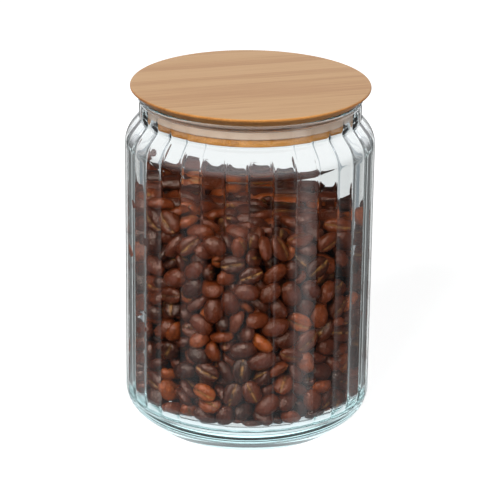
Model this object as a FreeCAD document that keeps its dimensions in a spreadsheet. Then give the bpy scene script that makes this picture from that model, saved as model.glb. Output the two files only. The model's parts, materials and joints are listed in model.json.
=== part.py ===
import FreeCAD, Part
import math
import os

import Sketcher

# A one-litre glass storage jar with a push-in bamboo lid and a silicone seal.
# The jar stands on the XY plane with its axis on Z, lengths in millimetres.

SIZES = {
    # jar, outside: radii and heights of the outline's corners, and their rounds
    "body_radius": 52.5,
    "foot_radius": 41.4,
    "foot_inner_radius": 36.5,
    "foot_round": 2.5,
    "push_up_radius": 34.0,
    "push_up_height": 1.8,
    "push_up_round": 1.5,
    "heel_height": 9.32,
    "heel_round": 10.0,
    "shoulder_height": 127.8,
    "shoulder_round": 12.0,
    "neck_radius": 46.6,
    "neck_height": 135.2,
    "neck_round": 1.5,
    "bead_radius": 46.95,
    "bead_height": 143.2,
    "bead_round": 0.8,
    "rim_height": 145.15,
    "rim_round": 1.3,
    # jar, inside: the outline that the creases between the reeds follow
    "floor_height": 9.8,
    "crease_radius": 48.9,
    "inner_heel_round": 8.0,
    "inner_shoulder_height": 127.3,
    "inner_shoulder_round": 9.0,
    "mouth_radius": 43.45,
    "inner_neck_height": 134.4,
    "inner_neck_round": 4.0,
    "mouth_round": 1.3,
    # reeds: wide flat ribs side by side all round the inside, which work as weak lenses
    "reed_count": 32,
    "reed_depth": 0.28,
    "shoulder_reed_depth": 0.7,
    "reed_deepening_start": 124.2,
    "reed_deepening_end": 131.0,
    "reed_fade_start": 134.0,
    "reed_fade_end": 140.5,
    # lid: a bamboo disc glued on a bamboo plug with a groove for the seal
    "lid_radius": 50.3,
    "lid_seat_radius": 46.9,
    "lid_seat_height": 145.2,
    "lid_bevel_height": 148.2,
    "lid_top_height": 149.2,
    "lid_edge_round": 0.6,
    "plug_radius": 42.0,
    "plug_bottom_height": 135.1,
    "plug_edge_round": 0.5,
    "groove_radius": 40.0,
    "groove_bottom_height": 138.3,
    "groove_top_height": 142.5,
    # seal: a silicone band that stands proud of the plug
    "seal_inner_radius": 40.2,
    "seal_outer_radius": 43.2,
    "seal_clearance": 0.15,
    "seal_edge_round": 0.7,
}

SHEET = "Sizes"
ORIGIN = (-1, 1)
HORIZONTAL_AXIS = -1
VERTICAL_AXIS = -2
START, END = 1, 2
JOIN_TOLERANCE = 1e-6
FIND_TOLERANCE = 0.01

# how many steps a round of the cavity's outline is divided into for the loft
HEEL_STEPS = 6
SHOULDER_STEPS = 4
FADE_STEPS = 3


def make_sheet(doc):
    """Put every driving size in a spreadsheet cell with its name as alias."""
    sheet = doc.addObject("Spreadsheet::Sheet", SHEET)
    for row, (alias, value) in enumerate(SIZES.items(), start=1):
        sheet.set(f"A{row}", alias)
        sheet.set(f"B{row}", str(value))
        sheet.setAlias(f"B{row}", alias)
    doc.recompute()
    return sheet


def bound(expression):
    """The same expression with each size's name pointing at its cell."""
    words = expression.split()
    return " ".join(f"{SHEET}.{word}" if word in SIZES else word for word in words)


def make_body(doc, name):
    """A new body whose label is the name of its node."""
    body = doc.addObject("PartDesign::Body", name)
    body.Label = name
    return body


def origin_feature(body, role):
    """One of the body's own origin planes or axes."""
    for feature in body.Origin.OriginFeatures:
        if feature.Role == role:
            return feature
    raise ValueError(f"{body.Label} has no {role}")


def make_sketch(body, name, plane):
    """An empty sketch on one of the body's origin planes."""
    sketch = body.newObject("Sketcher::SketchObject", name)
    sketch.AttachmentSupport = [(origin_feature(body, plane), "")]
    sketch.MapMode = "FlatFace"
    return sketch


def evaluate(sketch, expression):
    """The expression's number, read from the sheet."""
    return float(sketch.evalExpression(bound(expression)))


def place_point(sketch, point, across, up):
    """Rules that dimension a point from the sketch's origin, or put it on an axis.

    A rule is a constraint and the expression that drives it, if it has one.
    """
    rules = []
    for kind, expression, axis in (("DistanceX", across, VERTICAL_AXIS),
                                   ("DistanceY", up, HORIZONTAL_AXIS)):
        if expression == "0":
            rules.append((Sketcher.Constraint("PointOnObject", *point, axis), None))
            continue
        value = evaluate(sketch, expression)
        rules.append((Sketcher.Constraint(kind, *ORIGIN, *point, value), expression))
    return rules


def apply_rules(sketch, rules):
    """Add the constraints together, so that they are solved once, then bind them."""
    indices = sketch.addConstraint([constraint for constraint, _ in rules])
    for index, (_, expression) in zip(indices, rules):
        if expression:
            sketch.setExpression(f"Constraints[{index}]", bound(expression))


def tangent_length(before, corner, after, radius):
    """How far from the corner a round of this radius meets its two sides."""
    turn = (corner - before).getAngle(after - corner)
    return radius * math.tan(turn / 2)


def round_arc(before, corner, after, radius):
    """The arc that rounds a corner, and its ends on the two sides."""
    inward = (before - corner).normalize()
    outward = (after - corner).normalize()
    length = tangent_length(before, corner, after, radius)
    first = corner + inward * length
    last = corner + outward * length
    centre = corner + (inward + outward).normalize() * math.hypot(radius, length)
    circle = Part.Circle(centre, FreeCAD.Vector(0, 0, 1), radius)
    turns_left = (corner - before).cross(after - corner).z > 0
    near, far = (first, last) if turns_left else (last, first)
    arc = Part.ArcOfCircle(circle, circle.parameter(near), circle.parameter(far))
    return arc, first, last


def draw_outline(sketch, corners):
    """Draw a closed outline through the corners, each (radius, height, round).

    Each corner is dimensioned from the origin. A rounded one keeps its corner
    as a point where its two sides would meet.
    """
    places = [FreeCAD.Vector(evaluate(sketch, across), evaluate(sketch, up), 0)
              for across, up, _ in corners]
    count = len(places)
    starts, ends, arcs = list(places), list(places), {}
    for i, (_, _, rounding) in enumerate(corners):
        if rounding:
            near = places[i - 1], places[i], places[(i + 1) % count]
            arcs[i], ends[i], starts[i] = round_arc(*near, evaluate(sketch, rounding))
    lines = []
    for i in range(count):
        run = Part.LineSegment(starts[i], ends[(i + 1) % count])
        lines.append(sketch.addGeometry(run, False))
    rules = []
    for i, corner in enumerate(corners):
        before, after = lines[i - 1], lines[i]
        if i in arcs:
            rules += round_rules(sketch, before, after, arcs[i], ends[i], places[i], corner)
        else:
            meeting = Sketcher.Constraint("Coincident", before, END, after, START)
            rules.append((meeting, None))
            rules += place_point(sketch, (after, START), *corner[:2])
    apply_rules(sketch, rules)


def round_rules(sketch, before, after, arc, arc_start, place, corner):
    """Draw the round between two runs; rules for it and for its virtual corner."""
    across, up, rounding = corner
    bend = sketch.addGeometry(arc, False)
    runs_forward = sketch.Geometry[bend].StartPoint.isEqual(arc_start, JOIN_TOLERANCE)
    first, last = (START, END) if runs_forward else (END, START)
    point = sketch.addGeometry(Part.Point(place), True)
    radius = evaluate(sketch, rounding)
    return [
        (Sketcher.Constraint("Tangent", before, END, bend, first), None),
        (Sketcher.Constraint("Tangent", bend, last, after, START), None),
        (Sketcher.Constraint("Radius", bend, radius), rounding),
        (Sketcher.Constraint("PointOnObject", point, START, before), None),
        (Sketcher.Constraint("PointOnObject", point, START, after), None),
    ] + place_point(sketch, (point, START), across, up)


def turn_profile(body, name, corners):
    """Revolve a closed outline a full turn about the jar's axis."""
    sketch = make_sketch(body, f"{name}_outline", "XZ_Plane")
    draw_outline(sketch, corners)
    feature = body.newObject("PartDesign::Revolution", name)
    feature.Profile = sketch
    feature.ReferenceAxis = (sketch, ["V_Axis"])
    feature.Angle = 360
    sketch.Visibility = False
    return feature


def ease(value, start, end):
    """A smooth climb from 0 at start to 1 at end."""
    share = min(max((value - start) / (end - start), 0), 1)
    return share * share * (3 - 2 * share)


def reed_section(sizes, radius, height):
    """A level ring of arcs: creases at the radius, the reeds' crests standing inside it."""
    heel_top = sizes["floor_height"] + sizes["inner_heel_round"]
    fade_in = ease(height, sizes["floor_height"], heel_top)
    fade_out = 1 - ease(height, sizes["reed_fade_start"], sizes["reed_fade_end"])
    deepening = ease(height, sizes["reed_deepening_start"], sizes["reed_deepening_end"])
    depth = sizes["reed_depth"] + deepening * (sizes["shoulder_reed_depth"] - sizes["reed_depth"])
    crest_radius = radius - depth * min(fade_in, fade_out)
    count = int(sizes["reed_count"])
    half_step = math.pi / count

    def on_ring(distance, half_steps):
        angle = half_steps * half_step - math.pi / 2
        return FreeCAD.Vector(distance * math.cos(angle), distance * math.sin(angle), height)

    arcs = []
    for reed in range(count):
        crease = on_ring(radius, 2 * reed)
        next_crease = on_ring(radius, 2 * (reed + 1) % (2 * count))
        crest = on_ring(crest_radius, 2 * reed + 1)
        arcs.append(Part.Arc(crease, crest, next_crease).toShape())
    return Part.Wire(arcs)


def cavity_runs(sizes):
    """The creases' outline as four runs of (radius, height): heel, wall, shoulder, neck."""
    floor, wall, mouth = sizes["floor_height"], sizes["crease_radius"], sizes["mouth_radius"]
    corners = [
        FreeCAD.Vector(0, floor, 0),
        FreeCAD.Vector(wall, floor, 0),
        FreeCAD.Vector(wall, sizes["inner_shoulder_height"], 0),
        FreeCAD.Vector(mouth, sizes["inner_neck_height"], 0),
        FreeCAD.Vector(mouth, sizes["lid_top_height"], 0),
    ]
    rounds = (sizes["inner_heel_round"], sizes["inner_shoulder_round"], sizes["inner_neck_round"])
    steps = (HEEL_STEPS, SHOULDER_STEPS, SHOULDER_STEPS)
    bends = []
    for i, (radius, count) in enumerate(zip(rounds, steps)):
        arc, _, _ = round_arc(*corners[i:i + 3], radius)
        points = [(point.x, point.y) for point in arc.discretize(count + 1)]
        bends.append(sorted(points, key=lambda point: point[1]))
    heel, shoulder, neck = bends
    fade_end = sizes["reed_fade_end"]
    neck_top = neck[-1][1]
    rise = (fade_end - neck_top) / FADE_STEPS
    fade = [(mouth, neck_top + rise * (i + 1)) for i in range(FADE_STEPS)]
    return (
        heel,
        [heel[-1], shoulder[0]],
        shoulder + neck + fade,
        [fade[-1], (mouth, sizes["lid_top_height"])],
    )


def make_cavity(doc):
    """The whole inside of the jar as one solid, lofted through level sections."""
    sizes = {alias: float(doc.getObject(SHEET).get(alias)) for alias in SIZES}
    heel, wall, shoulder, neck = cavity_runs(sizes)
    solids = []
    for run, is_straight in ((heel, False), (wall, True), (shoulder, False), (neck, True)):
        sections = [reed_section(sizes, radius, height) for radius, height in run]
        solids.append(Part.makeLoft(sections, True, is_straight))
    cavity = doc.addObject("Part::Feature", "cavity")
    cavity.Shape = solids[0].fuse(solids[1:])
    return cavity


def mouth_edges(shape, sizes):
    """Numbers of the edges where the neck's wall meets the rim."""
    numbers = []
    for i, edge in enumerate(shape.Edges, start=1):
        box = edge.BoundBox
        at_rim = abs(box.ZMin - sizes["rim_height"]) < FIND_TOLERANCE
        level = box.ZLength < FIND_TOLERANCE
        corner = edge.Vertexes[0].Point
        in_mouth = math.hypot(corner.x, corner.y) < sizes["mouth_radius"] + FIND_TOLERANCE
        if at_rim and level and in_mouth:
            numbers.append(i)
    return numbers


def make_glass_jar(doc):
    """The jar: a turned outside, a reeded cavity and a rounded mouth."""
    outside = make_body(doc, "jar_outside")
    turn_profile(outside, "outside", [
        ("0", "push_up_height", None),
        ("push_up_radius", "push_up_height", "push_up_round"),
        ("foot_inner_radius", "0", "push_up_round"),
        ("foot_radius", "0", "foot_round"),
        ("body_radius", "heel_height", "heel_round"),
        ("body_radius", "shoulder_height", "shoulder_round"),
        ("neck_radius", "neck_height", "neck_round"),
        ("neck_radius", "bead_height - bead_round", None),
        ("bead_radius", "bead_height", "bead_round"),
        ("bead_radius", "rim_height", "rim_round"),
        ("0", "rim_height", None),
    ])
    hollowed = doc.addObject("Part::Cut", "hollowed")
    hollowed.Base = outside
    hollowed.Tool = make_cavity(doc)
    doc.recompute()
    jar = doc.addObject("Part::Fillet", "glass_jar")
    jar.Label = "glass_jar"
    jar.Base = hollowed
    rounding = SIZES["mouth_round"]
    jar.Edges = [(number, rounding, rounding) for number in mouth_edges(hollowed.Shape, SIZES)]
    return jar


def make_lid_disc(doc):
    """The bamboo disc that overhangs the mouth, bevelled underneath."""
    body = make_body(doc, "lid_disc")
    turn_profile(body, "disc", [
        ("0", "lid_seat_height", None),
        ("lid_seat_radius", "lid_seat_height", "lid_edge_round"),
        ("lid_radius", "lid_bevel_height", "lid_edge_round"),
        ("lid_radius", "lid_top_height", "lid_edge_round"),
        ("0", "lid_top_height", None),
    ])
    return body


def make_lid_plug(doc):
    """The bamboo plug under the disc, with the seal's groove turned in it."""
    body = make_body(doc, "lid_plug")
    turn_profile(body, "plug", [
        ("0", "plug_bottom_height", None),
        ("plug_radius", "plug_bottom_height", "plug_edge_round"),
        ("plug_radius", "groove_bottom_height", None),
        ("groove_radius", "groove_bottom_height", None),
        ("groove_radius", "groove_top_height", None),
        ("plug_radius", "groove_top_height", None),
        ("plug_radius", "lid_seat_height", None),
        ("0", "lid_seat_height", None),
    ])
    return body


def make_seal_ring(doc):
    """The silicone band that sits in the plug's groove."""
    body = make_body(doc, "seal_ring")
    turn_profile(body, "band", [
        ("seal_inner_radius", "groove_bottom_height + seal_clearance", None),
        ("seal_outer_radius", "groove_bottom_height + seal_clearance", "seal_edge_round"),
        ("seal_outer_radius", "groove_top_height - seal_clearance", "seal_edge_round"),
        ("seal_inner_radius", "groove_top_height - seal_clearance", None),
    ])
    return body


def check_document(doc, bodies):
    """Stop if any feature failed or any piece has no sound single solid."""
    for item in doc.Objects:
        if {"Invalid", "Error"} & set(item.State):
            raise RuntimeError(f"{item.Name} failed: {item.State}")
    for body in bodies:
        shape = body.Shape
        if shape.isNull() or not shape.isValid() or len(shape.Solids) != 1:
            raise RuntimeError(f"{body.Label} is not one sound solid")


def main():
    """Build every piece and write one STEP file for each."""
    doc = FreeCAD.newDocument("storage_jar")
    make_sheet(doc)
    makers = (make_glass_jar, make_lid_disc, make_lid_plug, make_seal_ring)
    bodies = [make(doc) for make in makers]
    doc.recompute()
    check_document(doc, bodies)
    os.makedirs("parts", exist_ok=True)
    for body in bodies:
        body.Shape.exportStep(f"parts/{body.Label}.step")
        box = body.Shape.optimalBoundingBox()
        print(f"{body.Label}: {body.Shape.Volume / 1000:.2f} cm3, "
              f"z {box.ZMin:.2f} to {box.ZMax:.2f}, radius {box.XMax:.2f}")


main()
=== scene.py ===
import json
import math

import bpy
import numpy as np
from mathutils import Matrix, Quaternion, Vector

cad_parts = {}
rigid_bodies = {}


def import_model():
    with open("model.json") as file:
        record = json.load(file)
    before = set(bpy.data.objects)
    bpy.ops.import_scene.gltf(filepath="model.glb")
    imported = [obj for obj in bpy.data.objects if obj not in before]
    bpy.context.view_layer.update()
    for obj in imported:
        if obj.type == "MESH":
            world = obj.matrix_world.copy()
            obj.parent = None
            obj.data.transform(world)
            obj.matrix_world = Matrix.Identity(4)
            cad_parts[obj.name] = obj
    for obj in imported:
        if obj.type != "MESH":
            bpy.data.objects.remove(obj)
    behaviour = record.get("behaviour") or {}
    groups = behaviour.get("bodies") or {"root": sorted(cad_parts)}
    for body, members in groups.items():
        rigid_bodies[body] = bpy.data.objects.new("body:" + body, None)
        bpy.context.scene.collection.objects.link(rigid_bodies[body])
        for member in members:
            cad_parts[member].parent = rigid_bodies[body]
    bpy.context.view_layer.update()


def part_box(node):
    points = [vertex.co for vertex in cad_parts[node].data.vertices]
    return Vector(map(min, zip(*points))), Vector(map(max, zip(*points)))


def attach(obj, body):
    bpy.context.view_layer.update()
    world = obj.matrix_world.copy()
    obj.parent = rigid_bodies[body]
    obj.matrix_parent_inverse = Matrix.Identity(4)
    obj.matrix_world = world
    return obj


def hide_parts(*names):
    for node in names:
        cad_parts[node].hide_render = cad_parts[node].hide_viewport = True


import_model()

bl_info = {
    "name": "Reeded storage jar",
    "version": (1, 0, 0),
    "blender": (4, 5, 0),
    "location": "3D View > Sidebar > Jar",
    "description": "Builds a reeded glass jar, its bamboo lid and seal, and the coffee beans in it",
    "category": "Add Mesh",
}

MM = 0.001
JAR_LOW, JAR_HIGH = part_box("glass_jar")
DISC_LOW, DISC_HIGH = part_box("lid_disc")
PLUG_LOW, PLUG_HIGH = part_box("lid_plug")
SEAL_LOW, SEAL_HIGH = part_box("seal_ring")
# round inside the jar between its floor and its wall
INNER_HEEL_ROUND = 8 * MM


# ---------------------------------------------------------------- properties

def length(name, description, default):
    """A property for one length, in metres."""
    return bpy.props.FloatProperty(name=name, description=description, default=default,
                                   unit="LENGTH", precision=5)


def colour(name, description, default):
    """A property for one colour, as an sRGB hex value."""
    return bpy.props.StringProperty(name=name, description=description, default=default)


class JarGlassSettings(bpy.types.PropertyGroup):
    """Sizes of the glass: radii from its axis, and heights above the surface it stands on."""

    body_radius: length("Body radius", "Outside radius of the straight wall", JAR_HIGH.x)
    rim_height: length("Rim height", "Top of the rim", JAR_HIGH.z)
    push_up_radius: length("Push-up radius", "Flat hollow under the base", 34 * MM)
    push_up_height: length("Push-up height", "Top of the hollow under the base", 1.8 * MM)
    foot_inner_radius: length("Foot inner radius", "Inside of the ring it stands on", 36.5 * MM)
    foot_radius: length("Foot radius", "Outside of the ring it stands on", 41.4 * MM)
    heel_height: length("Heel height", "Where the heel's slope meets the wall", 9.32 * MM)
    heel_round: length("Heel round", "Round between the heel and the wall", 10 * MM)
    shoulder_height: length("Shoulder height", "Where the wall meets the shoulder", 127.8 * MM)
    shoulder_round: length("Shoulder round", "Round between wall and shoulder", 12 * MM)
    neck_radius: length("Neck radius", "Outside radius of the neck", 46.6 * MM)
    neck_height: length("Neck height", "Where the shoulder meets the neck", 135.2 * MM)
    bead_radius: length("Bead radius", "Outside radius of the bead round the rim", 46.95 * MM)
    bead_height: length("Bead height", "Where the bead is full", 143.2 * MM)
    bead_round: length("Bead round", "Rounds above and below the bead's start", 0.8 * MM)
    rim_round: length("Rim round", "Rounds on both edges of the rim", 1.3 * MM)
    crease_radius: length("Crease radius", "Inside radius at the creases between the reeds", 48.9 * MM)
    inner_shoulder_height: length("Inner shoulder height", "Where the inside starts to narrow",
                                  127.3 * MM)
    inner_shoulder_round: length("Inner shoulder round", "Round there", 9 * MM)
    inner_neck_height: length("Inner neck height", "Where the inside of the neck starts", 134.4 * MM)
    inner_neck_round: length("Inner neck round", "Round there", 4 * MM)
    mouth_radius: length("Mouth radius", "Inside radius of the neck", 43.45 * MM)
    floor_height: length("Floor height", "Top of the thick base inside", 9.8 * MM)
    reed_depth: length("Reed depth", "How far the reeds stand in from the creases", 0.28 * MM)
    shoulder_reed_depth: length("Shoulder reed depth", "The same, in the shoulder", 0.7 * MM)
    reed_count: bpy.props.IntProperty(name="Reeds", description="Reeds round the inside wall",
                                      default=32, min=3)
    deepening_start: length("Deepening start", "Where the reeds start to deepen", 124.2 * MM)
    deepening_end: length("Deepening end", "Where the reeds are at their deepest", 131 * MM)
    fade_start: length("Fade start", "Where the reeds start to fade in the neck", 134 * MM)
    fade_end: length("Fade end", "Where the neck is smooth again", 140.5 * MM)
    steps_per_reed: bpy.props.IntProperty(name="Steps per reed", default=12, min=2,
                                          description="Faces across each reed")
    tint: colour("Tint", "Faint colour of soda-lime glass", "#feffff")


class BambooLidSettings(bpy.types.PropertyGroup):
    """Sizes and colours of the two bamboo boards."""

    grain_angle: bpy.props.FloatProperty(name="Grain angle", default=math.radians(16),
                                         description="Direction of the fibres, from +X towards +Y",
                                         subtype="ANGLE")
    seat_radius: length("Seat radius", "Flat of the disc's underside", 46.9 * MM)
    bevel_height: length("Bevel height", "Where the disc's bevel meets its side", 148.2 * MM)
    groove_radius: length("Groove radius", "Bottom of the plug's groove", 40 * MM)
    groove_low: length("Groove low", "Lower side of the groove", 138.3 * MM)
    groove_high: length("Groove high", "Upper side of the groove", 142.5 * MM)
    plug_round: length("Plug round", "Round on the plug's lower edge", 0.5 * MM)
    fine_round: length("Fine round", "Round on the plug's other edges", 0.15 * MM)
    strip_width: length("Strip width", "Width of one laminated strip", 6.5 * MM)
    edge_round: length("Edge round", "Round on the disc's edges", 0.6 * MM)
    pale: colour("Pale bamboo", "Lightest fibres", "#bd9466")
    deep: colour("Deep bamboo", "Darkest fibres", "#a77949")


class SealSettings(bpy.types.PropertyGroup):
    """Sizes and colour of the silicone band."""

    inner_radius: length("Inner radius", "Inside of the band", 40.2 * MM)
    inner_round: length("Inner round", "Round on the band's inner edges", 0.2 * MM)
    edge_round: length("Edge round", "Round on the band's outer edges", 0.7 * MM)
    tone: colour("Silicone", "Milky colour of the band", "#d6b4a0")


class CoffeeBeanSettings(bpy.types.PropertyGroup):
    """The beans that fill the jar."""

    shown: bpy.props.BoolProperty(name="Fill with beans", default=True,
                                  description="Leave off for an empty jar")
    count: bpy.props.IntProperty(name="Beans", default=1820, min=1,
                                 description="How many beans are poured in")
    bean_length: length("Bean length", "Mean length of one bean", 10.8 * MM)
    bean_width: length("Bean width", "Mean width of one bean", 8.3 * MM)
    bean_thickness: length("Bean thickness", "Mean thickness of one bean", 5.4 * MM)
    fill_height: length("Fill height", "Level of the beans above the foot", 98 * MM)
    heap_rise: length("Heap rise", "How much higher the beans lie on the -X side", 12 * MM)
    settle_steps: bpy.props.IntProperty(name="Settling steps", default=150, min=1,
                                        description="Rounds of pushing the beans apart")
    seed: bpy.props.IntProperty(name="Seed", default=5, description="Start of the random draws")


class StageSettings(bpy.types.PropertyGroup):
    """Camera, floor and light."""

    camera_distance: length("Camera distance", "From the middle of the jar", 1.0403)
    camera_elevation: bpy.props.FloatProperty(name="Camera elevation", subtype="ANGLE",
                                              default=math.radians(20.975),
                                              description="Angle above the horizon")
    camera_roll: bpy.props.FloatProperty(name="Camera roll", subtype="ANGLE",
                                         default=math.radians(0.739),
                                         description="Turn of the camera about its view")
    lens: bpy.props.FloatProperty(name="Lens", default=175.0, unit="CAMERA",
                                  description="Focal length in millimetres")


# ------------------------------------------------------------------- helpers

def linear(hex_colour):
    """Turn an sRGB hex colour into Blender's linear values."""
    parts = [int(hex_colour[i:i + 2], 16) / 255 for i in (1, 3, 5)]
    flat = [c / 12.92 if c <= 0.04045 else ((c + 0.055) / 1.055) ** 2.4 for c in parts]
    return (*flat, 1.0)


def add_node(tree, kind, inputs=None, **settings):
    """Add one node, set its properties, and set or link its inputs by name or place."""
    node = tree.nodes.new(kind)
    for name, value in settings.items():
        setattr(node, name, value)
    for key, value in (inputs or {}).items():
        if isinstance(value, bpy.types.NodeSocket):
            tree.links.new(value, node.inputs[key])
        else:
            node.inputs[key].default_value = value
    return node


def maths_in(tree):
    """A short way to add maths nodes to this tree."""
    def maths(operation, *values):
        return add_node(tree, "ShaderNodeMath", dict(enumerate(values)),
                        operation=operation).outputs[0]
    return maths


def mix(tree, share, low, high):
    """A colour that goes from low to high as the share goes from 0 to 1."""
    return add_node(tree, "ShaderNodeMix", {0: share, 6: low, 7: high},
                    data_type="RGBA").outputs[2]


def between(tree, value, low, high):
    """How far a value has come from low to high, from 0 to 1."""
    return add_node(tree, "ShaderNodeMapRange",
                    {"Value": value, "From Min": low, "From Max": high}).outputs[0]


def new_material(name):
    """An empty material and its node tree."""
    material = bpy.data.materials.new(name)
    material.use_nodes = True
    material.node_tree.nodes.clear()
    return material, material.node_tree


def put_out(tree, shader):
    """Send a shader to the material's output."""
    add_node(tree, "ShaderNodeOutputMaterial", {"Surface": shader})


def ramp(tree, factor, stops):
    """A colour ramp from (place, colour) stops."""
    node = add_node(tree, "ShaderNodeValToRGB", {"Fac": factor})
    elements = node.color_ramp.elements
    while len(elements) < len(stops):
        elements.new(0.5)
    for element, (place, value) in zip(elements, stops):
        element.position = place
        element.color = value
    return node.outputs["Color"]


def round_run(before, corner, after, radius, step):
    """Points along the round of one corner, as arrays of (radius, height)."""
    inward, outward = before - corner, after - corner
    inward, outward = inward / np.linalg.norm(inward), outward / np.linalg.norm(outward)
    turn = math.pi - math.acos(float(np.clip(inward @ outward, -1, 1)))
    reach = radius * math.tan(turn / 2)
    middle = (inward + outward) / np.linalg.norm(inward + outward)
    centre = corner + middle * math.hypot(radius, reach)
    first = corner + inward * reach - centre
    side = math.copysign(1, inward[0] * outward[1] - inward[1] * outward[0])
    count = max(3, math.ceil(turn / step))
    points = []
    for i in range(count + 1):
        angle = -side * turn * i / count
        c, s = math.cos(angle), math.sin(angle)
        points.append(centre + np.array([first[0] * c - first[1] * s, first[0] * s + first[1] * c]))
    return points


def outline(corners, step=math.radians(7), longest=1.0, guard=0.12 * MM):
    """Points of an outline through (radius, height, round) corners, rounds as fine arcs.

    A guard point just outside each end of a round keeps the straight sides' shading flat.
    """
    places = [np.array(corner[:2], float) for corner in corners]
    points = [places[0]]
    for i in range(1, len(places) - 1):
        before, corner, after = places[i - 1], places[i], places[i + 1]
        bend = round_run(before, corner, after, corners[i][2], step)
        into = (before - corner) / np.linalg.norm(before - corner)
        out = (after - corner) / np.linalg.norm(after - corner)
        points += [bend[0] + into * guard, *bend, bend[-1] + out * guard]
    points.append(places[-1])
    filled = [points[0]]
    for point in points[1:]:
        gap = np.linalg.norm(point - filled[-1])
        pieces = max(1, math.ceil(gap / longest))
        start = filled[-1]
        filled += [start + (point - start) * (i + 1) / pieces for i in range(pieces)]
    return np.array(filled)


def ease(value, start, end):
    """A smooth climb from 0 at start to 1 at end."""
    share = np.clip((value - start) / (end - start), 0, 1)
    return share * share * (3 - 2 * share)


# ------------------------------------------------------- turned pieces (nodes)

def turned_tree():
    """Geometry Nodes that sweep an outline round the axis and raise reeds on it."""
    name = "Turned and reeded"
    if name in bpy.data.node_groups:
        return bpy.data.node_groups[name]
    tree = bpy.data.node_groups.new(name, "GeometryNodeTree")
    for label, kind in (("Outline", "NodeSocketGeometry"), ("Steps around", "NodeSocketInt"),
                        ("Reeds", "NodeSocketInt"), ("Material", "NodeSocketMaterial")):
        tree.interface.new_socket(label, in_out="INPUT", socket_type=kind)
    tree.interface.new_socket("Piece", in_out="OUTPUT", socket_type="NodeSocketGeometry")
    given = add_node(tree, "NodeGroupInput").outputs
    maths = maths_in(tree)
    rows = add_node(tree, "GeometryNodeAttributeDomainSize",
                    {"Geometry": given["Outline"]}, component="MESH").outputs["Point Count"]
    columns = maths("ADD", given["Steps around"], 1.0)
    grid = add_node(tree, "GeometryNodeMeshGrid",
                    {"Size X": 1.0, "Size Y": 1.0, "Vertices X": rows, "Vertices Y": columns})
    place = add_node(tree, "ShaderNodeSeparateXYZ",
                     {0: add_node(tree, "GeometryNodeInputPosition").outputs[0]}).outputs
    along = maths("ADD", place["X"], 0.5)
    around = maths("SUBTRACT", 0.5, place["Y"])
    row = maths("ROUND", maths("MULTIPLY", along, maths("SUBTRACT", rows, 1.0)))
    point = add_node(tree, "GeometryNodeSampleIndex",
                     {"Geometry": given["Outline"], "Index": row,
                      "Value": add_node(tree, "GeometryNodeInputPosition").outputs[0]},
                     data_type="FLOAT_VECTOR", domain="POINT").outputs[0]
    depth = add_node(tree, "GeometryNodeInputNamedAttribute", {"Name": "reed_depth"},
                     data_type="FLOAT").outputs[0]
    depth = add_node(tree, "GeometryNodeSampleIndex",
                     {"Geometry": given["Outline"], "Index": row, "Value": depth},
                     data_type="FLOAT", domain="POINT").outputs[0]
    across = maths("FRACT", maths("MULTIPLY", around, given["Reeds"]))
    from_middle = maths("SUBTRACT", maths("MULTIPLY", across, 2.0), 1.0)
    gentle = maths("MULTIPLY", maths("POWER", maths("ABSOLUTE", from_middle), 2.0), 0.6)
    steep = maths("MULTIPLY", maths("POWER", maths("ABSOLUTE", from_middle), 8.0), 0.4)
    crest = maths("SUBTRACT", maths("SUBTRACT", 1.0, gentle), steep)
    point = add_node(tree, "ShaderNodeSeparateXYZ", {0: point}).outputs
    radius = maths("SUBTRACT", point["X"], maths("MULTIPLY", crest, depth))
    angle = maths("MULTIPLY", around, 2 * math.pi)
    target = add_node(tree, "ShaderNodeCombineXYZ",
                      {"X": maths("MULTIPLY", radius, maths("COSINE", angle)),
                       "Y": maths("MULTIPLY", radius, maths("SINE", angle)),
                       "Z": point["Z"]}).outputs[0]
    swept = add_node(tree, "GeometryNodeSetPosition",
                     {"Geometry": grid.outputs["Mesh"], "Position": target}).outputs[0]
    closed = add_node(tree, "GeometryNodeMergeByDistance",
                      {"Geometry": swept, "Distance": 0.001 * MM}).outputs[0]
    finish_tree(tree, closed, given["Material"])
    return tree


def finish_tree(tree, geometry, material):
    """End a tree with real faces, smooth shading and the material."""
    real = add_node(tree, "GeometryNodeRealizeInstances", {"Geometry": geometry}).outputs[0]
    smooth = add_node(tree, "GeometryNodeSetShadeSmooth", {"Geometry": real}).outputs[0]
    coated = add_node(tree, "GeometryNodeSetMaterial",
                      {"Geometry": smooth, "Material": material}).outputs[0]
    add_node(tree, "NodeGroupOutput", {0: coated})


def run_tree(name, mesh, tree, values):
    """Run a tree on a mesh with these named inputs and keep the result as a plain mesh."""
    carrier = bpy.data.objects.new(name, mesh)
    bpy.context.collection.objects.link(carrier)
    modifier = carrier.modifiers.new(tree.name, "NODES")
    modifier.node_group = tree
    sockets = {item.name: item.identifier for item in tree.interface.items_tree
               if item.item_type == "SOCKET" and item.in_out == "INPUT"}
    for label, value in values.items():
        modifier[sockets[label]] = value
    carrier.update_tag()
    graph = bpy.context.evaluated_depsgraph_get()
    result = bpy.data.meshes.new_from_object(carrier.evaluated_get(graph))
    carrier.modifiers.remove(modifier)
    carrier.data = result
    result.name = name
    return carrier


def outline_mesh(name, points, depths=None):
    """An outline as points in the XZ plane, each with the depth of the reeds there."""
    mesh = bpy.data.meshes.new(f"{name} outline")
    count = len(points)
    mesh.from_pydata([(r, 0, z) for r, z in points], [(i, i + 1) for i in range(count - 1)], [])
    attribute = mesh.attributes.new("reed_depth", "FLOAT", "POINT")
    given = np.zeros(count) if depths is None else depths
    attribute.data.foreach_set("value", np.asarray(given, np.float32))
    return mesh


def turned_piece(name, points, material, steps=256, depths=None, reeds=1):
    """Sweep an outline into a closed piece."""
    mesh = outline_mesh(name, points, depths)
    return run_tree(name, mesh, turned_tree(),
                    {"Steps around": steps, "Reeds": reeds, "Material": material})


# ----------------------------------------------------------------- materials

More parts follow.
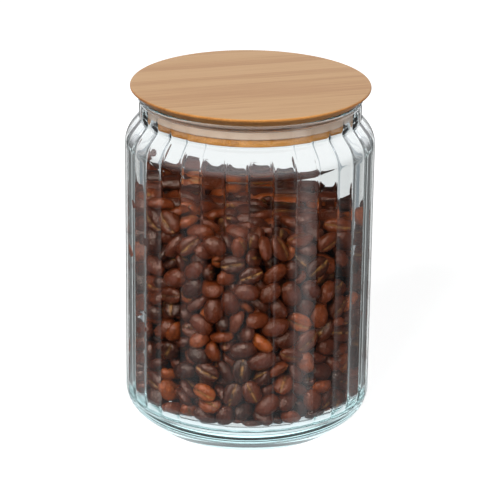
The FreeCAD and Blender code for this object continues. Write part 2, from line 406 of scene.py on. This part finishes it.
def glass_material(settings):
    """Soda-lime glass, pressed and fire-polished: clear, hard gloss, faintly green in the thick.

    Rays from lamps pass straight through, so that the contents are lit.
    """
    material, tree = new_material("Pressed soda-lime glass")
    glass = add_node(tree, "ShaderNodeBsdfPrincipled",
                     {"Base Color": linear(settings.tint), "Roughness": 0.0, "IOR": 1.52,
                      "Transmission Weight": 1.0})
    open_way = add_node(tree, "ShaderNodeBsdfTransparent", {"Color": linear("#f4faf8")})
    lamp_ray = add_node(tree, "ShaderNodeLightPath").outputs["Is Shadow Ray"]
    shader = add_node(tree, "ShaderNodeMixShader",
                      {0: lamp_ray, 1: glass.outputs[0], 2: open_way.outputs[0]})
    # a faint green-blue that only shows where the glass is thick
    body = add_node(tree, "ShaderNodeVolumeAbsorption",
                    {"Color": (0.4, 0.9, 0.9, 1), "Density": 7.0})
    add_node(tree, "ShaderNodeOutputMaterial", {"Surface": shader.outputs[0],
                                                "Volume": body.outputs[0]})
    return material


def bamboo_material(settings):
    """Laminated bamboo, sanded and oiled: long fibres in narrow strips, satin."""
    name = "Oiled laminated bamboo"
    if name in bpy.data.materials:
        return bpy.data.materials[name]
    material, tree = new_material(name)
    place = add_node(tree, "ShaderNodeTexCoord").outputs["Object"]
    turned = add_node(tree, "ShaderNodeMapping",
                      {"Vector": place, "Rotation": (0, 0, -settings.grain_angle)}).outputs[0]
    parts = add_node(tree, "ShaderNodeSeparateXYZ", {0: turned}).outputs
    maths = maths_in(tree)
    across = maths("DIVIDE", parts["Y"], settings.strip_width)
    strip = maths("FLOOR", across)
    strip_tone = add_node(tree, "ShaderNodeTexWhiteNoise", {"W": strip},
                          noise_dimensions="1D").outputs["Value"]
    shift = add_node(tree, "ShaderNodeCombineXYZ",
                     {"X": maths("MULTIPLY", strip_tone, 3.0), "Y": 0.0, "Z": strip_tone}).outputs[0]
    moved = add_node(tree, "ShaderNodeVectorMath", {0: turned, 1: shift},
                     operation="ADD").outputs[0]
    # fibres: 0.35 mm apart across the grain and about 25 mm long
    stretched = add_node(tree, "ShaderNodeMapping",
                         {"Vector": moved, "Scale": (40, 2800, 2800)}).outputs[0]
    fibre = add_node(tree, "ShaderNodeTexNoise",
                     {"Vector": stretched, "Scale": 1.0, "Detail": 3.0, "Roughness": 0.6})
    # broad bands of darker and paler wood, about 3 mm wide
    broad = add_node(tree, "ShaderNodeMapping",
                     {"Vector": moved, "Scale": (12, 330, 330)}).outputs[0]
    band = add_node(tree, "ShaderNodeTexNoise",
                    {"Vector": broad, "Scale": 1.0, "Detail": 2.0, "Roughness": 0.5})
    mixed = maths("ADD", maths("MULTIPLY", fibre.outputs["Fac"], 0.65),
                  maths("MULTIPLY", band.outputs["Fac"], 0.35))
    mixed = maths("ADD", mixed, maths("MULTIPLY", maths("SUBTRACT", strip_tone, 0.5), 0.22))
    shade = ramp(tree, mixed, [(0.34, linear(settings.deep)), (0.5, linear("#b68c5c")),
                               (0.64, linear(settings.pale))])
    # the sides, below the top face, get a darker, redder and more orange ramp: partly the end grain's
    # own tone where it drinks the oil, partly painted warm bounce light on the shaded sides of the
    # disc's bevel and the plug
    side = between(tree, parts["Z"], DISC_HIGH.z - 0.08 * MM, DISC_HIGH.z - 0.3 * MM)
    end_grain_and_bounce_tone = ramp(tree, mixed, [(0.3, linear("#8f5526")), (0.68, linear("#d08f4c"))])
    shade = mix(tree, side, shade, end_grain_and_bounce_tone)
    bump = add_node(tree, "ShaderNodeBump",
                    {"Height": fibre.outputs["Fac"], "Strength": 0.15, "Distance": 0.05 * MM})
    shader = add_node(tree, "ShaderNodeBsdfPrincipled",
                      {"Base Color": shade, "Roughness": 0.5, "Specular IOR Level": 0.3,
                       "Normal": bump.outputs[0]})
    put_out(tree, shader.outputs[0])
    return material


def silicone_material(settings):
    """Moulded silicone rubber: milky, half clear, satin."""
    material, tree = new_material("Moulded translucent silicone")
    shader = add_node(tree, "ShaderNodeBsdfPrincipled",
                      {"Base Color": linear(settings.tone), "Roughness": 0.35, "IOR": 1.41,
                       "Transmission Weight": 0.25})
    put_out(tree, shader.outputs[0])
    return material


def bean_material():
    """Roasted coffee bean: dark brown skin with a little oil, paler chaff in the crease."""
    material, tree = new_material("Roasted coffee bean skin")
    place = add_node(tree, "ShaderNodeTexCoord").outputs["Object"]
    maths = maths_in(tree)
    tone = add_node(tree, "ShaderNodeAttribute", attribute_name="tone").outputs["Fac"]
    crease = add_node(tree, "ShaderNodeAttribute", attribute_name="crease").outputs["Fac"]
    # mottling about 2.5 mm wide and wrinkles about 1 mm wide
    mottle = add_node(tree, "ShaderNodeTexNoise",
                      {"Vector": place, "Scale": 400.0, "Detail": 3.0, "Roughness": 0.6})
    wrinkle = add_node(tree, "ShaderNodeTexNoise",
                       {"Vector": place, "Scale": 900.0, "Detail": 3.0, "Roughness": 0.6})
    uneven = maths("MULTIPLY", maths("SUBTRACT", mottle.outputs["Fac"], 0.5), 0.5)
    skin = ramp(tree, maths("ADD", tone, uneven),
                [(0.0, linear("#260d05")), (0.35, linear("#43190a")),
                 (0.75, linear("#5f260d")), (1.0, linear("#934314"))])
    chaff = ramp(tree, mottle.outputs["Fac"], [(0.4, linear("#2a130c")), (0.62, linear("#9c6a38"))])
    skin = mix(tree, crease, skin, chaff)
    bump = add_node(tree, "ShaderNodeBump",
                    {"Height": wrinkle.outputs["Fac"], "Strength": 0.9, "Distance": 0.5 * MM})
    shader = add_node(tree, "ShaderNodeBsdfPrincipled",
                      {"Base Color": skin, "Roughness": 0.34, "Normal": bump.outputs[0]})
    put_out(tree, shader.outputs[0])
    return material


# -------------------------------------------------------------------- pieces

class JAR_OT_glass(bpy.types.Operator):
    """Build the glass jar, round outside and reeded inside"""

    bl_idname = "jar.glass"
    bl_label = "Glass jar"

    def execute(self, context):
        s = context.scene.jar_glass
        radius, rim = s.body_radius, s.rim_height
        # the outside and the inside meet on the flat of the rim
        rim_middle = (45 * MM, rim)
        foot_inner_round, foot_round, neck_round = 1.5 * MM, 2.5 * MM, 1.5 * MM
        outside = outline([
            (0, s.push_up_height),
            (s.push_up_radius, s.push_up_height, foot_inner_round),
            (s.foot_inner_radius, 0, foot_inner_round),
            (s.foot_radius, 0, foot_round),
            (radius, s.heel_height, s.heel_round),
            (radius, s.shoulder_height, s.shoulder_round),
            (s.neck_radius, s.neck_height, neck_round),
            (s.neck_radius, s.bead_height - s.bead_round, s.bead_round),
            (s.bead_radius, s.bead_height, s.bead_round),
            (s.bead_radius, rim, s.rim_round),
            rim_middle,
        ])
        inside = outline([
            rim_middle,
            (s.mouth_radius, rim, s.rim_round),
            (s.mouth_radius, s.inner_neck_height, s.inner_neck_round),
            (s.crease_radius, s.inner_shoulder_height, s.inner_shoulder_round),
            (s.crease_radius, s.floor_height, INNER_HEEL_ROUND),
            (0, s.floor_height),
        ], longest=4 * MM)
        height = inside[:, 1]
        fade_in = ease(height, s.floor_height, s.floor_height + 5 * MM)
        fade_out = 1 - ease(height, s.fade_start, s.fade_end)
        deepening = ease(height, s.deepening_start, s.deepening_end)
        depth = s.reed_depth + deepening * (s.shoulder_reed_depth - s.reed_depth)
        depth = depth * np.minimum(fade_in, fade_out)
        depths = np.concatenate([np.zeros(len(outside)), depth[1:]])
        points = np.concatenate([outside, inside[1:]])
        jar = turned_piece("glass_jar_reeded", points, glass_material(s),
                           steps=s.reed_count * s.steps_per_reed, depths=depths,
                           reeds=s.reed_count)
        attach(jar, "jar")
        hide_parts("glass_jar")
        return {"FINISHED"}


class JAR_OT_lid(bpy.types.Operator):
    """Build the lid's bamboo disc and plug"""

    bl_idname = "jar.lid"
    bl_label = "Bamboo lid"

    def execute(self, context):
        s = context.scene.jar_lid
        bamboo = bamboo_material(s)
        seat, top, radius = DISC_LOW.z, DISC_HIGH.z, DISC_HIGH.x
        disc = turned_piece("lid_disc_bamboo", outline([
            (0, seat),
            (s.seat_radius, seat, s.edge_round),
            (radius, s.bevel_height, s.edge_round),
            (radius, top, s.edge_round),
            (0, top),
        ], longest=10 * MM), bamboo)
        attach(disc, "lid")
        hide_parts("lid_disc")
        low, high, radius = PLUG_LOW.z, PLUG_HIGH.z, PLUG_HIGH.x
        fine = s.fine_round
        plug = turned_piece("lid_plug_bamboo", outline([
            (0, low),
            (radius, low, s.plug_round),
            (radius, s.groove_low, fine),
            (s.groove_radius, s.groove_low, fine),
            (s.groove_radius, s.groove_high, fine),
            (radius, s.groove_high, fine),
            (radius, high, fine),
            (0, high),
        ], longest=10 * MM), bamboo)
        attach(plug, "lid")
        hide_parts("lid_plug")
        return {"FINISHED"}


class JAR_OT_seal(bpy.types.Operator):
    """Build the silicone band"""

    bl_idname = "jar.seal"
    bl_label = "Silicone seal"

    def execute(self, context):
        s = context.scene.jar_seal
        low, high, outer = SEAL_LOW.z, SEAL_HIGH.z, SEAL_HIGH.x
        inner, fine = s.inner_radius, s.inner_round
        middle = (low + high) / 2
        band = turned_piece("seal_ring_silicone", outline([
            (inner, middle),
            (inner, low, fine),
            (outer, low, s.edge_round),
            (outer, high, s.edge_round),
            (inner, high, fine),
            (inner, middle),
        ], longest=10 * MM), silicone_material(s))
        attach(band, "seal")
        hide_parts("seal_ring")
        return {"FINISHED"}


# --------------------------------------------------------------------- beans

def turn_matrices(turns):
    """Rotation matrices for rows of turn vectors."""
    angle = np.linalg.norm(turns, axis=1)
    x, y, z = (turns / np.maximum(angle, 1e-12)[:, None]).T
    none = np.zeros_like(x)
    cross = np.stack([none, -z, y, z, none, -x, -y, x, none], axis=1).reshape(-1, 3, 3)
    sine, cosine = np.sin(angle)[:, None, None], np.cos(angle)[:, None, None]
    return np.eye(3) + sine * cross + (1 - cosine) * (cross @ cross)


class BeanBed:
    """Beans poured into the jar, each four balls in a flat lozenge, pushed apart until they fit."""

    last_rounds = 12

    def __init__(self, beans, glass):
        self.beans = beans
        self.wall = glass.crease_radius - 0.3 * MM
        self.floor = glass.floor_height + 0.4 * MM
        self.heel = INNER_HEEL_ROUND
        self.draw = np.random.default_rng(beans.seed)
        self.count = beans.count
        self.scatter()

    def level(self, x):
        """Height of the bed's surface above each place."""
        rise = ease(-x, 5 * MM, 45 * MM)
        return self.beans.fill_height + self.beans.heap_rise * rise

    def scatter(self):
        """Place the beans evenly through the bed, those near the glass lying flat on it."""
        draw, count = self.draw, self.count
        margin = 4 * MM
        radius = (self.wall - margin) * np.sqrt(draw.random(count))
        angle = 2 * math.pi * draw.random(count)
        x, y = radius * np.cos(angle), radius * np.sin(angle)
        low = self.floor + margin
        z = low + draw.random(count) * (self.level(x) - margin - low)
        self.centre = np.stack([x, y, z], axis=1)
        self.size = draw.uniform(0.9, 1.08, count)
        outward = np.stack([x, y, np.zeros(count)], axis=1) / radius[:, None]
        facing = np.where(draw.random(count) < 0.5, 1, -1)[:, None]
        by_glass = np.clip((radius - self.wall + 12 * MM) / (8 * MM), 0, 1)[:, None]
        anyhow = draw.normal(size=(count, 3))
        anyhow /= np.linalg.norm(anyhow, axis=1)[:, None]
        thin = anyhow * (1 - by_glass) + (outward * facing + anyhow * 0.5) * by_glass
        thin /= np.linalg.norm(thin, axis=1)[:, None]
        along = np.cross(thin, draw.normal(size=(count, 3)))
        along /= np.linalg.norm(along, axis=1)[:, None]
        self.turn = np.stack([along, np.cross(thin, along), thin], axis=2)

    def neighbours(self):
        """Pairs of beans near enough to touch."""
        reach = self.beans.bean_length * 1.16
        square = (self.centre ** 2).sum(axis=1)
        pairs = []
        for start in range(0, self.count, 400):
            part = slice(start, start + 400)
            gap = square[part, None] + square - 2 * self.centre[part] @ self.centre.T
            first, second = np.nonzero(gap < reach ** 2)
            first += start
            pairs.append(np.stack([first, second])[:, first < second])
        return np.concatenate(pairs, axis=1)

    def settle(self):
        """Push touching beans apart and off the glass, a little each time."""
        half = self.beans.bean_thickness / 2
        ends = self.beans.bean_length / 2 - half
        sides = self.beans.bean_width / 2 - half
        balls = np.array([[ends, 0, 0], [-ends, 0, 0], [0, sides, 0], [0, -sides, 0]])
        self.ball_radius = half * self.size
        for step in range(self.beans.settle_steps):
            if step % 8 == 0:
                self.pairs = self.neighbours()
            arm = np.einsum("nij,kj->nki", self.turn, balls) * self.size[:, None, None]
            pushes = list(self.keep_inside(arm))
            # the last rounds only push off the glass
            if step < self.beans.settle_steps - self.last_rounds:
                pushes.append(self.part_pairs(arm))
            bean, ball, push = (np.concatenate(part) for part in zip(*pushes))
            self.move(bean, arm[bean, ball], push, half)

    def part_pairs(self, arm):
        """Pushes that part overlapping balls of two beans."""
        first, second = self.pairs
        ball = self.centre[:, None] + arm
        apart = ball[first][:, :, None] - ball[second][:, None]
        gap = np.sqrt((apart ** 2).sum(axis=-1)) + 1e-9
        over = (self.ball_radius[first] + self.ball_radius[second])[:, None, None] - gap
        pair, one, other = np.nonzero(over > 0)
        push = apart[pair, one, other] * (over / gap / 2)[pair, one, other][:, None]
        return (np.concatenate([first[pair], second[pair]]), np.concatenate([one, other]),
                np.concatenate([push, -push]))

    def keep_inside(self, arm):
        """Pushes off the wall, the rounded heel, the floor and the bed's surface."""
        ball = self.centre[:, None] + arm
        radius = self.ball_radius[:, None]
        x, y, z = ball[..., 0], ball[..., 1], ball[..., 2]
        out = np.hypot(x, y)
        flat = np.zeros_like(z)
        up = np.stack([flat, flat, flat + 1], axis=-1)
        inward = np.stack([-x / out, -y / out, flat], axis=-1)
        past_heel, below_heel = out - (self.wall - self.heel), self.floor + self.heel - z
        from_heel = np.hypot(past_heel, below_heel) + 1e-9
        to_heel = (inward * past_heel[..., None] + up * below_heel[..., None]) / from_heel[..., None]
        in_heel = (past_heel > 0) & (below_heel > 0)
        for over, way in (
            (out + radius - self.wall, inward),
            (self.floor + radius - z, up),
            (np.where(in_heel, from_heel + radius - self.heel, -1), to_heel),
            ((z + radius - self.level(x)) / 2, -up),
        ):
            bean, part = np.nonzero(over > 0)
            yield bean, part, way[bean, part] * over[bean, part][:, None]

    def move(self, bean, lever, push, half):
        """Shift and turn every bean by what pushes it."""
        eager = 1.2

        def total(values):
            return np.stack([np.bincount(bean, values[:, axis], self.count) for axis in range(3)], 1)

        touches = np.maximum(np.bincount(bean, minlength=self.count), 1)[:, None]
        stiffness = np.bincount(bean, (lever ** 2).sum(axis=1) + (0.74 * half) ** 2, self.count)
        self.centre += eager * total(push) / touches
        turn = eager * total(np.cross(lever, push)) / np.maximum(stiffness, 1e-12)[:, None]
        self.turn = turn_matrices(turn) @ self.turn


def bean_mesh(name, beans, belly, bend):
    """One bean of unit size: domed back, flatter belly with a crease along it."""
    half_length, half_width = beans.bean_length / 2, beans.bean_width / 2
    back = beans.bean_thickness - belly
    # places round the bean's section, from the crease on the belly, over the back
    section = [-90, -78, -52, -18, 22, 62, 100, 140, 190, 228, 258]
    rings = 7
    points, creases = [(-half_length, 0, 0)], [0.0]
    for ring in range(1, rings):
        along = -math.cos(math.pi * ring / rings)
        girth = math.sqrt(1 - along ** 2) ** 0.86
        for place, degrees in enumerate(section):
            angle = math.radians(degrees)
            y = half_width * girth * math.cos(angle)
            z = (back if math.sin(angle) > 0 else belly) * girth * math.sin(angle)
            if place == 0:
                y = bend * math.sin(math.pi * along) * half_width
                z += 0.95 * MM * girth
            points.append((half_length * along, y, z))
            creases.append(1.0 if place == 0 else 0.0)
    points.append((half_length, 0, 0))
    creases.append(0.0)
    count = len(section)
    faces = []
    for i in range(count):
        j = (i + 1) % count
        faces.append((0, 1 + j, 1 + i))
        for ring in range(rings - 2):
            a, b = 1 + ring * count, 1 + (ring + 1) * count
            faces.append((a + i, a + j, b + j, b + i))
        last = 1 + (rings - 2) * count
        faces.append((len(points) - 1, last + i, last + j))
    mesh = bpy.data.meshes.new(name)
    mesh.from_pydata(points, [], faces)
    mark = mesh.attributes.new("crease", "FLOAT", "POINT")
    mark.data.foreach_set("value", np.array(creases, np.float32))
    return mesh


def scatter_tree():
    """Geometry Nodes that put one kind of bean on each point, turned and sized by its attributes."""
    tree = bpy.data.node_groups.new("Poured beans", "GeometryNodeTree")
    for label, kind in (("Places", "NodeSocketGeometry"), ("Kinds", "NodeSocketCollection"),
                        ("Material", "NodeSocketMaterial")):
        tree.interface.new_socket(label, in_out="INPUT", socket_type=kind)
    tree.interface.new_socket("Beans", in_out="OUTPUT", socket_type="NodeSocketGeometry")
    given = add_node(tree, "NodeGroupInput").outputs

    def attribute(name, kind):
        return add_node(tree, "GeometryNodeInputNamedAttribute", {"Name": name},
                        data_type=kind).outputs[0]

    kinds = add_node(tree, "GeometryNodeCollectionInfo",
                     {"Collection": given["Kinds"], "Separate Children": True,
                      "Reset Children": True}).outputs[0]
    turn = add_node(tree, "FunctionNodeEulerToRotation", {0: attribute("turn", "FLOAT_VECTOR")})
    placed = add_node(tree, "GeometryNodeInstanceOnPoints",
                      {"Points": given["Places"], "Instance": kinds, "Pick Instance": True,
                       "Instance Index": attribute("kind", "INT"), "Rotation": turn.outputs[0],
                       "Scale": attribute("size", "FLOAT_VECTOR")}).outputs[0]
    finish_tree(tree, placed, given["Material"])
    return tree


class JAR_OT_beans(bpy.types.Operator):
    """Pour the coffee beans into the jar"""

    bl_idname = "jar.beans"
    bl_label = "Coffee beans"

    def execute(self, context):
        beans = context.scene.jar_beans
        if not beans.shown:
            return {"FINISHED"}
        bed = BeanBed(beans, context.scene.jar_glass)
        bed.settle()
        kinds = bpy.data.collections.new("Bean kinds")
        shapes = ((0.36, 0.05), (0.42, -0.08), (0.32, 0.1), (0.4, 0.0))
        for i, (belly, bend) in enumerate(shapes):
            mesh = bean_mesh(f"bean_{i}", beans, belly * beans.bean_thickness, bend)
            kinds.objects.link(bpy.data.objects.new(f"bean_{i}", mesh))
        skin = bean_material()
        tree = scatter_tree()
        tones = bed.draw.beta(2.0, 2.6, bed.count)
        stretch = bed.draw.uniform(0.94, 1.06, (bed.count, 3)) * bed.size[:, None]
        kind = bed.draw.integers(0, len(shapes), bed.count)
        layers = np.array_split(np.argsort(bed.centre[:, 2]), 3)
        for name, part in zip(("coffee_beans_low", "coffee_beans_middle", "coffee_beans_top"), layers):
            mesh = bpy.data.meshes.new(f"{name} places")
            mesh.from_pydata(bed.centre[part].tolist(), [], [])
            eulers = [tuple(Matrix(turn.tolist()).to_euler()) for turn in bed.turn[part]]
            for label, kind_of, values in (
                ("turn", "FLOAT_VECTOR", np.array(eulers)),
                ("size", "FLOAT_VECTOR", stretch[part]),
                ("kind", "INT", kind[part]),
                ("tone", "FLOAT", tones[part]),
            ):
                data = mesh.attributes.new(label, kind_of, "POINT").data
                field = "vector" if kind_of == "FLOAT_VECTOR" else "value"
                number = np.int32 if kind_of == "INT" else np.float32
                data.foreach_set(field, values.astype(number).ravel())
            layer = run_tree(name, mesh, tree, {"Kinds": kinds, "Material": skin})
            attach(layer, "jar")
        for shape in list(kinds.objects):
            bpy.data.objects.remove(shape)
        bpy.data.collections.remove(kinds)
        return {"FINISHED"}


# --------------------------------------------------------------------- stage

class JAR_OT_stage(bpy.types.Operator):
    """Set the camera, the floor and the studio light"""

    bl_idname = "jar.stage"
    bl_label = "Stage"

    # brightness of what the glass mirrors, by azimuth from the front in degrees
    around = ((-180, 0.7), (-171, 0.7), (-169, 0.12), (-164, 0.12), (-162, 1.1), (-156, 1.1),
              (-153, 0.16), (-124, 0.16), (-113, 0.45), (-102, 0.015), (-66, 0.015), (-62, 0.24),
              (-42, 0.24), (-38, 0.01), (-19, 0.01), (-15, 0.24), (3, 0.24), (7, 0.01),
              (37, 0.01), (41, 0.35), (48, 0.9), (57, 0.9), (61, 0.015), (102, 0.03), (113, 0.45),
              (124, 0.14), (153, 0.14), (157, 1.1), (162, 1.1), (165, 0.12), (169, 0.12),
              (172, 0.7))
    # brightness of the tent by height, from straight down to straight up
    heights = ((0.0, (0.6, 0.62, 0.64, 1)), (0.2, (0.94, 0.94, 0.94, 1)),
               (0.55, (0.94, 0.94, 0.94, 1)), (0.8, (0.7, 0.72, 0.75, 1)))

    def execute(self, context):
        s = context.scene.jar_stage
        self.camera(context, s)
        self.floor()
        self.world(context)
        self.lamps()
        context.scene.view_settings.view_transform = "Standard"
        context.scene.cycles.glossy_bounces = 12
        return {"FINISHED"}

    def camera(self, context, s):
        """A long lens in front of the jar, looking down on it."""
        data = bpy.data.cameras.new("Camera")
        data.lens = s.lens
        data.sensor_width = 36
        camera = bpy.data.objects.new("Camera", data)
        context.collection.objects.link(camera)
        back = Vector((0, -math.cos(s.camera_elevation), math.sin(s.camera_elevation)))
        middle = Vector((0, 0, 70 * MM))
        aimed_at = Vector((0.58 * MM, 0, 74.9 * MM))
        camera.location = middle + back * s.camera_distance
        aim = aimed_at - camera.location
        turn = aim.to_track_quat("-Z", "Y") @ Quaternion((0, 0, 1), s.camera_roll)
        camera.rotation_mode = "QUATERNION"
        camera.rotation_quaternion = turn
        context.scene.camera = camera

    def floor(self):
        """A plain pale floor."""
        half = 6.0
        mesh = bpy.data.meshes.new("floor")
        mesh.from_pydata([(-half, -half, 0), (half, -half, 0), (half, half, 0), (-half, half, 0)],
                         [], [(0, 1, 2, 3)])
        floor = bpy.data.objects.new("floor", mesh)
        bpy.context.collection.objects.link(floor)
        material, tree = new_material("Pale matt paper")
        shader = add_node(tree, "ShaderNodeBsdfPrincipled",
                          {"Base Color": linear("#c8c8c8"), "Roughness": 0.9,
                           "Specular IOR Level": 0.1, "Emission Color": (1, 1, 1, 1),
                           "Emission Strength": 0.8})
        put_out(tree, shader.outputs[0])
        mesh.materials.append(material)
        floor.visible_glossy = False
        floor.visible_transmission = False
        floor.visible_diffuse = False

    def world(self, context):
        """A white tent of eight panels.

        What is seen through the glass, what the glass mirrors, what the contents mirror and
        what lights the matt pieces are set apart, so that the glass stays clear.
        """
        world = bpy.data.worlds.new("White tent")
        world.use_nodes = True
        tree = world.node_tree
        tree.nodes.clear()
        way = add_node(tree, "ShaderNodeTexCoord").outputs["Generated"]
        parts = add_node(tree, "ShaderNodeSeparateXYZ", {0: way}).outputs
        maths = maths_in(tree)
        # azimuth from the front, -180 to 180 degrees, as 0 to 1
        azimuth = maths("ARCTAN2", parts["X"], maths("MULTIPLY", parts["Y"], -1.0))
        share = maths("ADD", maths("DIVIDE", azimuth, 2 * math.pi), 0.5)
        level = ramp(tree, share, [((angle + 180) / 360, (power, power, power, 1))
                                   for angle, power in self.around])
        height = parts["Z"]
        # mirrored in the glass: the white roof, the strips round the sides, the pale floor
        mirrored = mix(tree, between(tree, height, -0.2, 0.15), level, (1.7, 1.7, 1.75, 1))
        mirrored = mix(tree, between(tree, height, -0.39, -0.5), mirrored, (0.9, 0.97, 1.0, 1))
        # on matt pieces: a little light, mostly from above
        diffuse = mix(tree, between(tree, height, -0.1, 0.3), (0.02, 0.018, 0.015, 1),
                      (0.1, 0.1, 0.1, 1))
        path = add_node(tree, "ShaderNodeLightPath").outputs
        through = ramp(tree, maths("MULTIPLY_ADD", height, 0.5, 0.5), self.heights)
        # eight white panels with darker gaps between them
        in_panel = maths("FRACT", maths("MULTIPLY", share, 8.0))
        from_gap = maths("ABSOLUTE", maths("SUBTRACT", in_panel, 0.5))
        through = mix(tree, between(tree, from_gap, 0.08, 0.2), (0.36, 0.41, 0.45, 1), through)
        mirror = maths("GREATER_THAN", path["Glossy Depth"], 0.5)
        seen = mix(tree, mirror, through, mirrored)
        # what the contents mirror through the glass: one soft box high on the left of the front
        toward = add_node(tree, "ShaderNodeVectorMath",
                          {0: way, 1: Vector((-0.45, -0.62, 0.64)).normalized()},
                          operation="DOT_PRODUCT").outputs["Value"]
        gleam = mix(tree, between(tree, toward, 0.72, 0.93), (0.03, 0.03, 0.03, 1),
                    (7.0, 6.0, 5.2, 1))
        within = maths("MULTIPLY", mirror, maths("GREATER_THAN", path["Transmission Depth"], 2.5))
        seen = mix(tree, within, seen, gleam)
        light = mix(tree, path["Is Diffuse Ray"], seen, diffuse)
        # behind everything: plain white
        light = mix(tree, path["Is Camera Ray"], light, (1, 1, 1, 1))
        tent = add_node(tree, "ShaderNodeBackground", {"Color": light, "Strength": 1.0})
        add_node(tree, "ShaderNodeOutputWorld", {"Surface": tent.outputs[0]})
        context.scene.world = world

    def lamps(self):
        """A large soft box high on the left and a smaller one on the right."""
        for name, place, size, power in (
            ("Key soft box", (-0.8, -1.45, 1.25), 0.8, 46.0),
            ("Fill soft box", (1.3, -1.2, 0.7), 0.9, 16.0),
        ):
            data = bpy.data.lights.new(name, "AREA")
            data.size = size
            data.energy = power
            lamp = bpy.data.objects.new(name, data)
            lamp.location = place
            lamp.visible_glossy = False
            lamp.visible_transmission = False
            aim = Vector((0, 0, 0.08)) - lamp.location
            lamp.rotation_euler = aim.to_track_quat("-Z", "Y").to_euler()
            bpy.context.collection.objects.link(lamp)


class JAR_PT_panel(bpy.types.Panel):
    """The jar's sizes and its makers, in the sidebar"""

    bl_label = "Storage jar"
    bl_idname = "JAR_PT_panel"
    bl_space_type = "VIEW_3D"
    bl_region_type = "UI"
    bl_category = "Jar"

    def draw(self, context):
        for group, operator in PIECES:
            box = self.layout.box()
            settings = getattr(context.scene, group)
            for name in type(settings).__annotations__:
                box.prop(settings, name)
            box.operator(operator)


PIECES = (
    ("jar_glass", "jar.glass"),
    ("jar_lid", "jar.lid"),
    ("jar_seal", "jar.seal"),
    ("jar_beans", "jar.beans"),
    ("jar_stage", "jar.stage"),
)
SETTINGS = {
    "jar_glass": JarGlassSettings,
    "jar_lid": BambooLidSettings,
    "jar_seal": SealSettings,
    "jar_beans": CoffeeBeanSettings,
    "jar_stage": StageSettings,
}
CLASSES = (*SETTINGS.values(), JAR_OT_glass, JAR_OT_lid, JAR_OT_seal, JAR_OT_beans, JAR_OT_stage,
           JAR_PT_panel)


def register():
    """Register the classes and hang the settings on the scene."""
    for item in CLASSES:
        bpy.utils.register_class(item)
    for name, group in SETTINGS.items():
        setattr(bpy.types.Scene, name, bpy.props.PointerProperty(type=group))


def unregister():
    """Take the settings and the classes away again."""
    for name in SETTINGS:
        delattr(bpy.types.Scene, name)
    for item in reversed(CLASSES):
        bpy.utils.unregister_class(item)


def main():
    """Build every piece and the stage."""
    register()
    for _, operator in PIECES:
        family, name = operator.split(".")
        getattr(getattr(bpy.ops, family), name)()


if __name__ == "__main__":
    main()
